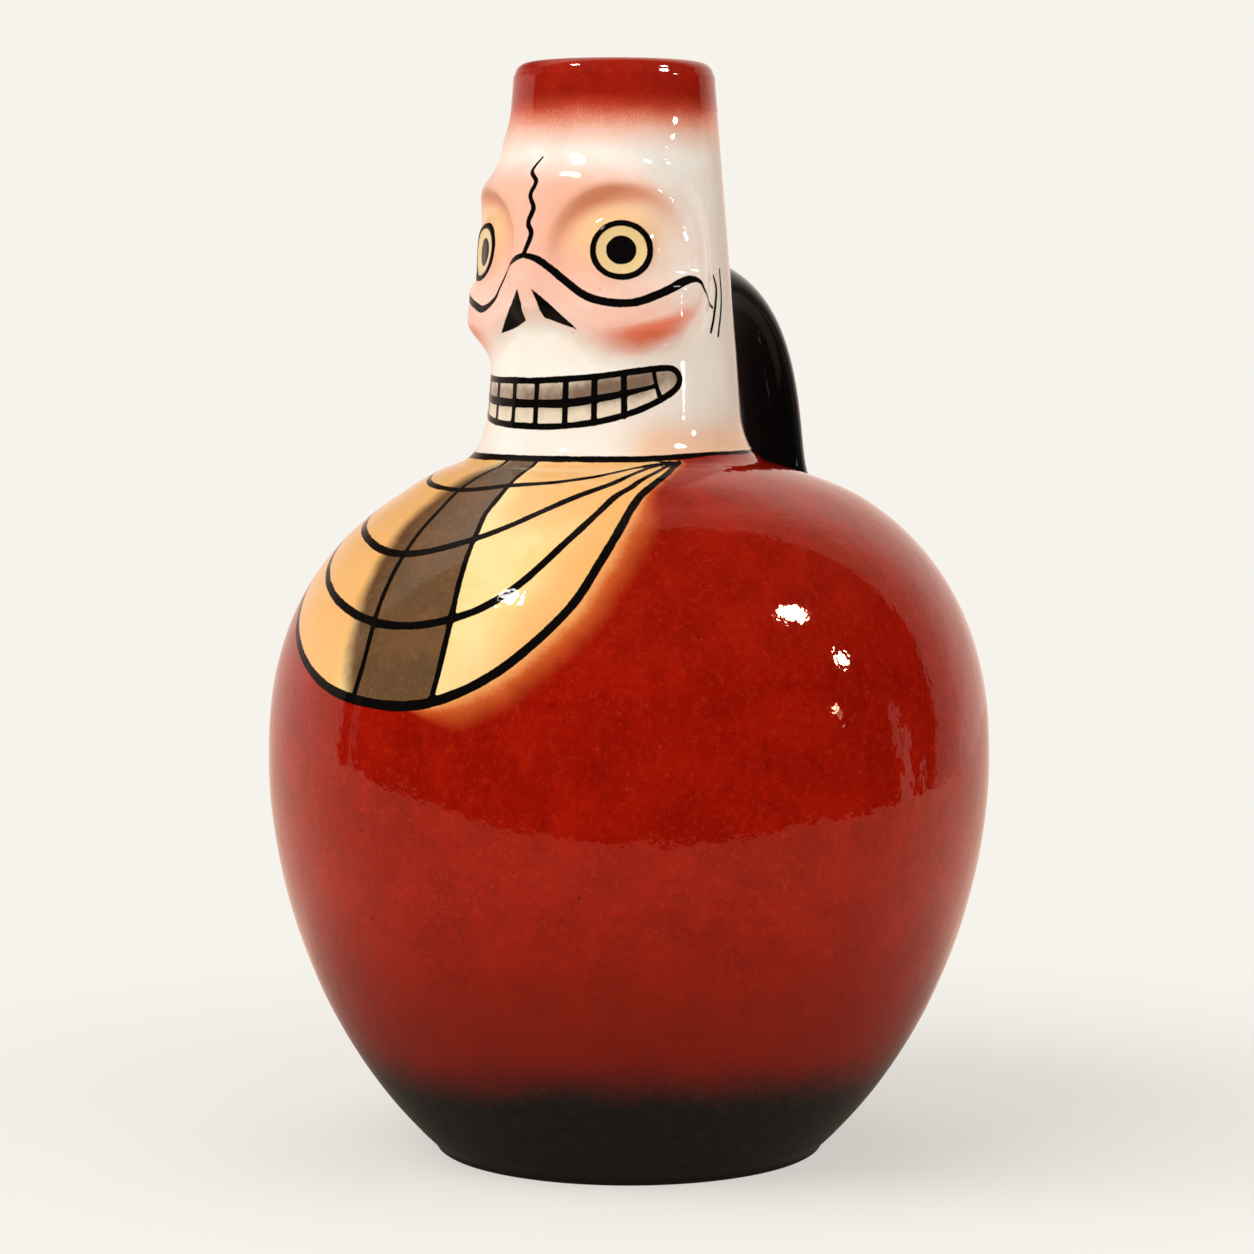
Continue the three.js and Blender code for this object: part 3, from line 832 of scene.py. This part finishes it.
# White earthenware glaze with the face on it: glossy, with soft pink and peach tints and duller black lines
def face_glaze():
    material, tree = start_material("face_painted_earthenware_glaze")
    shade = white_ground(tree)
    # Painted shade greys the white on the neck's sides and back
    shade = lay(tree, shade, "#bfaf9f", "painted_side_shade", 0, 1, 0.9)
    shade = lay(tree, shade, "#f5ae94", ragged(tree, "pink", 5, 0.14), 0, 1.05, 0.92)
    shade = lay(tree, shade, "#f5c58e", "peach", 0, 1, 0.92)
    # Tint sprayed under the brow, partly painted shade in the crease
    shade = lay(tree, shade, "#d27a54", "crease", 0, 1, 0.82)
    shade = lay(tree, shade, "#e86c44", ragged(tree, "rouge", 4, 0.12), 0.05, 1, 0.93)
    shade = lay(tree, shade, "#f9c39c", "blush", 0, 1, 0.85)
    stain = ragged(tree, "stain", 2.5, 0.3)
    dentine = lay(tree, "#ead8bf", "#5a371f", stain, 0.05, 1, 0.85)
    shade = lay(tree, shade, dentine, "mouth", 0.3, -0.3)
    shade = lay(tree, shade, "#ebcb92", ragged(tree, "eye", 4, 0.1), 0.3, -0.3)
    shade = lay(tree, shade, red_ground(tree), "root", 0.2, -0.2)
    shade = rim_spray(tree, shade)
    shade, mirror = ink_coat(tree, shade)
    return fired(material, shade, WHITE_PEEL, {"Roughness": 0.05, "IOR": mirror})


# White earthenware glaze at the mouth: glossy, and red where the rim was sprayed
def rim_glaze():
    material, tree = start_material("rim_sprayed_earthenware_glaze")
    shade = rim_spray(tree, white_ground(tree))
    return fired(material, shade, WHITE_PEEL, {"Roughness": 0.05, "IOR": GLAZE_IOR})


# Black satin glaze: a dim, blurred mirror image, and a soft grey sheen where the surface turns away
def black_glaze():
    material, tree = start_material("black_satin_earthenware_glaze")
    shade = cloud(tree, "#040404", "#0a0808", 10, 0.5, 0.8)
    skin = {"Roughness": 0.1, "IOR": 1.24, "Sheen Weight": 0.8, "Sheen Roughness": 0.35}
    return fired(material, shade, 0.04, skin)


# Clear liner glaze over buff clay: glossy, warm and uneven, as it pools when poured out
def liner_glaze():
    material, tree = start_material("liner_glaze_on_buff_clay")
    shade = cloud(tree, "#d8c3a2", "#c4a883", 25, 0.3, 0.7)
    return fired(material, shade, 0.03, {"Roughness": 0.16, "IOR": GLAZE_IOR})


# Bare fired clay where the foot was wiped: matt and gritty. Its grit, of 0.3 mm, is drawn coarser to show.
def bare_clay():
    material, tree = start_material("bare_fired_buff_clay")
    shade = cloud(tree, "#b98d66", "#a1734e", 0.8, 0.3, 0.7)
    return fired(material, shade, 0.12, {"Roughness": 0.85, "IOR": GLAZE_IOR})


red_body, collar, face, rim = red_body_glaze(), collar_glaze(), face_glaze(), rim_glaze()
black, liner, clay = black_glaze(), liner_glaze(), bare_clay()


# Pieces

def turned_piece(name, heights, inside, outer, inner):
    """A ring-shaped piece: its outer wall at these heights, its inside from the top down, and their glazes"""
    phi, z = np.meshgrid(PHI, heights)
    wall = surface(phi, z)
    rings = np.concatenate([wall, plain_rings(inside)])
    last = len(rings) - 1
    piece = make_piece(name, rings, [0, len(heights) - 1, len(heights), last])
    settle_normals(piece, len(heights), surface_normals(phi, z))
    strip_finish(piece, [(outer, len(heights) - 1), (clay, 1), (inner, len(inside) - 1), (clay, 1)])
    return piece, wall.reshape(-1, 3), phi.ravel(), z.ravel()


def foot_ring():
    bend = np.linspace(0, pi / 2, FOOT_STEPS)
    middle = bowl_radius(FOOT_EDGE) - FOOT_EDGE
    edge = [(middle + FOOT_EDGE * sin(a), FOOT_EDGE * (1 - cos(a))) for a in bend[:-1]]
    wall = [(float(bowl_radius(z)), z) for z in np.linspace(FOOT_EDGE, FOOT_TOP, FOOT_STEPS)]
    profile = [(FOOT_INNER_RADIUS, 0), *edge, *wall, (FOOT_INNER_RADIUS, FOOT_TOP)]
    piece = make_piece("glazed_foot_ring", plain_rings(profile), [0, len(profile) - 2, len(profile) - 1])
    strip_finish(piece, [(clay, 2), (red_body, len(profile) - 3), (clay, 2)])
    place_piece(piece, "black_glaze", "foot_ring")


def base_disc():
    profile = [(BASE_RADIUS / 2, BASE_LOW), (BASE_RADIUS, BASE_LOW), (BASE_RADIUS, BASE_HIGH),
               (BASE_RADIUS / 2, BASE_HIGH)]
    poles = np.array([(0, 0, BASE_LOW), (0, 0, BASE_HIGH)])
    piece = make_piece("glazed_base_disc", plain_rings(profile), [1, 2], poles)
    strip_finish(piece, [(clay, 2), (liner, 1)])
    place_piece(piece, "white_glaze", "base_disc")


def lower_bowl():
    heights = even_heights(FOOT_TOP, BELLY_HEIGHT, BOWL_STEP)
    inner = np.linspace(BELLY_HEIGHT, BASE_HIGH, INSIDE_STEPS)
    inside = [(float(bowl_radius(z, BODY_WALL)), z) for z in inner]
    inside.append((inside[-1][0], FOOT_TOP))
    piece, _, phi, _ = turned_piece("glazed_lower_bowl", heights, inside, red_body, liner)
    store(piece, "waver", BLACK_WAVER * (1 - np.cos(np.radians(BLACK_WAVES * (phi - BLACK_TURN)))))
    place_piece(piece, "red_glaze", "lower_bowl")


def shoulder():
    heights = even_heights(BELLY_HEIGHT, NECK_SEAT, SHOULDER_STEP)
    bore = NECK_BASE_RADIUS - NECK_WALL
    share = np.linspace(0, 1, INSIDE_STEPS)
    crown = SHOULDER_RISE - BODY_WALL
    bore_foot = BELLY_HEIGHT + crown * oval_share(bore / (BELLY_RADIUS - BODY_WALL), SHOULDER_FULLNESS)
    inner = BELLY_HEIGHT + (bore_foot - BELLY_HEIGHT) * np.cos(share * pi / 2)
    inside = [(bore, NECK_SEAT), *((float(shoulder_radius(z, BODY_WALL)), z) for z in inner)]
    piece, *grid = turned_piece("glazed_shoulder", heights, inside, collar, liner)
    paint_collar(piece, *grid)
    place_piece(piece, "red_glaze", "shoulder")


def neck():
    heights = even_heights(NECK_SEAT, LIP_SEAT, NECK_STEP)
    inner = np.linspace(LIP_SEAT, NECK_SEAT, INSIDE_STEPS)
    bores = np.linspace(neck_radius(LIP_SEAT), NECK_BASE_RADIUS, INSIDE_STEPS) - NECK_WALL
    inside = list(zip(bores, inner))
    piece, *grid = turned_piece("glazed_neck", heights, inside, face, rim)
    paint_face(piece, *grid)
    pads = [f"{side}_{pad}" for side in ("left", "right") for pad in ("brow", "cheekbone", "eye_dome")]
    place_piece(piece, "white_glaze", "neck", "nose_bridge", *pads)


def lip():
    seat = float(neck_radius(LIP_SEAT))
    outer, inner = NECK_TOP_RADIUS, NECK_TOP_RADIUS - LIP_WALL
    middle = HEIGHT - LIP_ROUND
    wall = [(float(neck_radius(z)), z) for z in np.linspace(LIP_SEAT, middle, LIP_STEPS)]
    bend = np.linspace(0, pi / 2, LIP_STEPS + 1)
    over = [(outer - LIP_ROUND + LIP_ROUND * cos(a), middle + LIP_ROUND * sin(a)) for a in bend]
    down = [(inner + LIP_ROUND - LIP_ROUND * sin(a), middle + LIP_ROUND * cos(a)) for a in bend]
    profile = [*wall, *over[1:], *down, (seat - NECK_WALL, LIP_SEAT)]
    piece = make_piece("glazed_lip", plain_rings(profile), [0, len(profile) - 1])
    strip_finish(piece, [(rim, len(profile) - 1), (clay, 1)])
    place_piece(piece, "red_glaze", "lip")


def handle():
    root_height = NECK_SEAT + HANDLE_RISE
    neck_back = neck_radius(root_height) - NECK_OFFSET
    far = neck_back + HANDLE_REACH
    knots = np.array([
        (neck_back - HANDLE_ROOT, root_height), (neck_back + HANDLE_SPRING, root_height),
        (far, root_height - HANDLE_TURN), (far, shoulder_height(far) - HANDLE_ROOT),
    ])
    t = np.linspace(0, 1, HANDLE_STEPS)[:, None]
    path = ((1 - t) ** 3 * knots[0] + 3 * t * (1 - t) ** 2 * knots[1]
            + 3 * t**2 * (1 - t) * knots[2] + t**3 * knots[3])
    along = np.gradient(path, axis=0)
    along /= np.linalg.norm(along, axis=1, keepdims=True)
    clear = (path[:, 0] > neck_back) & (path[:, 1] > shoulder_height(far - HANDLE_THICKNESS / 2))
    path, along = path[clear], along[clear]
    run = run_along(path)
    flare = 1 + HANDLE_FLARE * np.exp(-np.minimum(run, run[-1] - run) / HANDLE_FLARE_LENGTH)
    angle = np.linspace(2 * pi, 0, HANDLE_SIDES, endpoint=False)
    wide = HANDLE_WIDTH / 2 * np.outer(flare, np.cos(angle))
    thick = HANDLE_THICKNESS / 2 * np.outer(flare, np.sin(angle))
    back, up = path[:, :1] - thick * along[:, 1:], path[:, 1:] + thick * along[:, :1]
    rings = np.stack([wide, back, up], axis=-1)
    upper, lower = rings[0].copy(), rings[-1].copy()
    seat_radius = neck_radius(upper[:, 2]) - HANDLE_SEAT
    upper[:, 1] = np.sqrt(seat_radius**2 - upper[:, 0] ** 2) - NECK_OFFSET
    lower[:, 2] = shoulder_height(np.hypot(lower[:, 0], lower[:, 1])) - HANDLE_SEAT
    rings = np.concatenate([upper[None], rings, lower[None]])
    poles = np.array([upper.mean(axis=0), lower.mean(axis=0)])
    piece = make_piece("glazed_handle", rings, [0, len(rings) - 1], poles)
    piece.data.materials.append(black)
    place_piece(piece, "black_glaze", "handle")


for build in (foot_ring, base_disc, lower_bowl, shoulder, neck, lip, handle):
    build()


# The photograph's camera

CAMERA_TURN = 38.5
CAMERA_DISTANCE = 1004
CAMERA_HEIGHT = 229.05
CAMERA_TILT = 4.776
CAMERA_ASIDE = -0.55
CAMERA_LENS, CAMERA_FRAME = 104.04, 36


def turned_point(turn, distance, height, aside=0.0):
    """A point this far from the jug's axis in the direction of a turn from the face's midline"""
    a = radians(turn)
    x = distance * sin(a) + aside * cos(a)
    y = -distance * cos(a) + aside * sin(a)
    return Vector((x, y, height)) * MM


camera_data = bpy.data.cameras.new("camera")
camera_data.lens = CAMERA_LENS
camera_data.sensor_width = CAMERA_FRAME
camera = put("camera", camera_data)
camera.location = turned_point(CAMERA_TURN, CAMERA_DISTANCE, CAMERA_HEIGHT, CAMERA_ASIDE)
camera.rotation_euler = (radians(90 - CAMERA_TILT), 0, radians(CAMERA_TURN))
scene.camera = camera
scene.view_settings.view_transform = "Standard"


# Studio: pale floor and backdrop, soft lights, and small lamps that only the glaze mirrors

PALE = "#f6f3ec"
FLOOR_RADIUS = 3000
FLOOR_SIDE, LAMP_SIDE = 4, 20  # degrees round a floor or a lamp between its corners
# The floor's shade: where it ends out from the axis and fades forward of it, and how pale it is behind and
# before the jug
SHADE_ENDS, SHADE_FADES = (120, 360), (30, 120)
SHADE_BEHIND, SHADE_BEFORE = 0.58, 0.87
# Edge of the pale paper that the glaze mirrors, forward of the jug's axis and to the right of it
PAPER_EDGE = [(-1500, -1400), (0, -1300), (330, -800), (425, -374), (411, 21), (350, 413), (100, 650),
              (-181, 780), (-1500, 900)]
# Turns from the camera where the mirrored backdrop begins and ends, the middle of its left part, and how far
# its right edge leans back
PAPER_RIGHT, PAPER_LEFT, PAPER_TURN = 111, 258.3, 225
PAPER_LEAN = 0.12
# How far forward of the axis the mirrored floor dims, how far out from it the jug's own shade ends, and how
# far under the floor it lies
PAPER_DIMS, PAPER_SHADE, PAPER_SINK = (-250, 200), (20, 300), 0.5

# Lamps that only the glaze mirrors: turn from the camera, lift, width and height in degrees, and strength
LAMP_DISTANCE, LAMP_AIM = 1600, 150
LAMPS = {
    "right_lamp_high": (68.5, 42.5, 8.6, 6.2, 90),
    "right_lamp_low": (75.4, 23, 4.8, 4.8, 80),
    "right_lamp_stand": (68, 7, 2, 3, 5),
    "right_lamp_edge": (66, 9.4, 2.4, 2.6, 40),
    "right_post_near": (90, 1, 3.5, 12, 0.6),
    "right_post_middle": (94, -6, 4.5, 16, 0.75),
    "right_post_far": (102, -9, 2.5, 8, 0.6),
    "left_post": (-94, -2, 3, 24, 0.3),
    "left_lamp": (-59, 53, 7, 6, 160),
}
# Soft lights that the glaze doesn't mirror: turn from the camera and lift in degrees, size, and power
LIGHT_DISTANCE, LIGHT_AIM = 1700, 120
LIGHTS = {
    "key": (-56, 40, 1700, 27),
    "front": (15, 25, 1200, 1),
    "fill": (54, 20, 1200, 9.6),
    "back_light": (178, 72, 1200, 7),
}


def flat_mesh(name, corners):
    mesh = bpy.data.meshes.new(name)
    mesh.from_pydata([tuple(corner) for corner in corners], [], [tuple(range(len(corners)))])
    made = put(name, mesh)
    return made


def on_paper(tree):
    """Millimetres that a point of the floor lies towards the camera, and away from the jug's axis"""
    place = add(tree, "VectorMath", {0: "place", "Scale": 1 / MM}, operation="SCALE")
    towards = turned_point(CAMERA_TURN, 1, 0) / MM
    forward = add(tree, "VectorMath", {0: place, 1: towards}, operation="DOT_PRODUCT").outputs["Value"]
    return forward, add(tree, "VectorMath", {0: place}, operation="LENGTH").outputs["Value"]


def mirrored_glow(made, material, tree, shade, strength):
    """Lights a card up for the glaze alone, so that it neither shows nor lights anything else"""
    made.visible_camera = made.visible_diffuse = made.visible_shadow = made.visible_transmission = False
    glow = add(tree, "Emission", {"Color": shade, "Strength": strength})
    add(tree, "OutputMaterial", {"Surface": glow})
    made.data.materials.append(material)


def floor():
    ring = [turned_point(turn, FLOOR_RADIUS, 0) for turn in range(0, 360, FLOOR_SIDE)]
    made = flat_mesh("floor", ring)
    made.visible_glossy = False
    material, tree = start_material("pale_paper")
    forward, radius = on_paper(tree)
    sockets = {"Value": forward, "From Min": SHADE_FADES[0], "From Max": SHADE_FADES[1],
               "To Min": SHADE_BEHIND, "To Max": SHADE_BEFORE}
    near = add(tree, "MapRange", sockets, interpolation_type="SMOOTHSTEP")
    sockets = {"Value": radius, "From Min": SHADE_ENDS[0], "From Max": SHADE_ENDS[1], "To Min": near}
    far = add(tree, "MapRange", sockets, interpolation_type="SMOOTHSTEP")
    lit = add(tree, "BsdfDiffuse", {"Color": "#f2efe8"})
    glow = add(tree, "Emission", {"Color": PALE, "Strength": 1.0})
    both = add(tree, "MixShader", {0: far, 1: lit, 2: glow})
    add(tree, "OutputMaterial", {"Surface": both})
    made.data.materials.append(material)


def mirrored_floor():
    """What the glaze mirrors of the pale floor: dim towards the camera, bright towards the backdrop"""
    corners = [turned_point(CAMERA_TURN, forward, -PAPER_SINK, aside) for forward, aside in PAPER_EDGE]
    made = flat_mesh("mirrored_floor", corners)
    material, tree = start_material("mirrored_paper")
    forward, radius = on_paper(tree)
    shade = lay(tree, "#f6d6c2", "#d8c4b4", forward, *PAPER_DIMS)
    shade = lay(tree, "#3a332d", shade, radius, *PAPER_SHADE)
    mirrored_glow(made, material, tree, shade, 1.0)


def aimed(turn, lift, distance, aim):
    """A place at a turn from the camera and a lift, and the direction from it to the jug's axis"""
    a = radians(lift)
    place = turned_point(CAMERA_TURN + turn, distance * cos(a), aim + distance * sin(a))
    return place, (turned_point(0, 0, aim) - place).normalized()


def lamp(name, turn, lift, width, height, strength):
    """A small lamp at a turn from the camera and a lift above the table, its size in degrees"""
    middle, towards = aimed(turn, lift, LAMP_DISTANCE, LAMP_AIM)
    across = towards.cross(Vector((0, 0, 1))).normalized()
    up = across.cross(towards)
    wide, tall = (LAMP_DISTANCE * MM * tan(radians(size) / 2) for size in (width, height))
    around = [radians(corner) for corner in range(0, 360, LAMP_SIDE)]
    corners = [middle + across * wide * cos(a) + up * tall * sin(a) for a in around]
    made = flat_mesh(name, corners)
    material, tree = start_material(name + "_glow")
    mirrored_glow(made, material, tree, "#fffaf2", strength)


def soft_light(name, turn, lift, size, power):
    data = bpy.data.lights.new(name, "AREA")
    data.size = size * MM
    data.energy = power
    made = put(name, data)
    made.location, towards = aimed(turn, lift, LIGHT_DISTANCE, LIGHT_AIM)
    made.rotation_euler = towards.to_track_quat("-Z", "Y").to_euler()
    made.visible_glossy = False


def studio_world():
    """A pale room to the camera, and to the glaze bright paper behind the jug in a dark room"""
    world = bpy.data.worlds.new("studio")
    world.use_nodes = True
    tree = world.node_tree
    tree.nodes.clear()
    direction = add(tree, "TexCoord").outputs["Generated"]
    past_right, past_left, leftwards = (
        add(tree, "VectorMath", {0: direction, 1: turned_point(CAMERA_TURN + turn, 1, -lean_back) / MM},
            operation="DOT_PRODUCT").outputs["Value"]
        for turn, lean_back in ((PAPER_RIGHT + 90, PAPER_LEAN), (PAPER_LEFT - 90, 0), (PAPER_TURN, 0)))
    lift = add(tree, "SeparateXYZ", {0: direction}).outputs["Z"]
    right_paper = lay(tree, "#eed3c5", "#ffe8da", lift, 0.45, 0.7)
    right_paper = lay(tree, "#b69c8c", right_paper, past_right, 0.1, 0.5)
    left_paper = lay(tree, "#dcc4b6", "#5a4234", lift, 0.05, 0.5)
    paper = lay(tree, right_paper, left_paper, leftwards, 0.5, 0.86)
    room = lay(tree, "#171512", "#5f4a38", lift, 0.35, 0.75)
    mirrored_room = lay(tree, room, lay(tree, room, paper, past_right, 0, 0.05), past_left, 0, 0.05)
    rays = add(tree, "LightPath")
    seen = lay(tree, "#82807b", PALE, rays.outputs["Is Camera Ray"], 0, 1)
    plain = add(tree, "Background", {"Color": seen, "Strength": 1.0})
    glossy = add(tree, "Background", {"Color": mirrored_room, "Strength": 1.25})
    sockets = {0: rays.outputs["Is Glossy Ray"], 1: plain, 2: glossy}
    add(tree, "OutputWorld", {"Surface": add(tree, "MixShader", sockets)})
    scene.world = world


floor()
mirrored_floor()
for name, values in LAMPS.items():
    lamp(name, *values)
for name, values in LIGHTS.items():
    soft_light(name, *values)
studio_world()
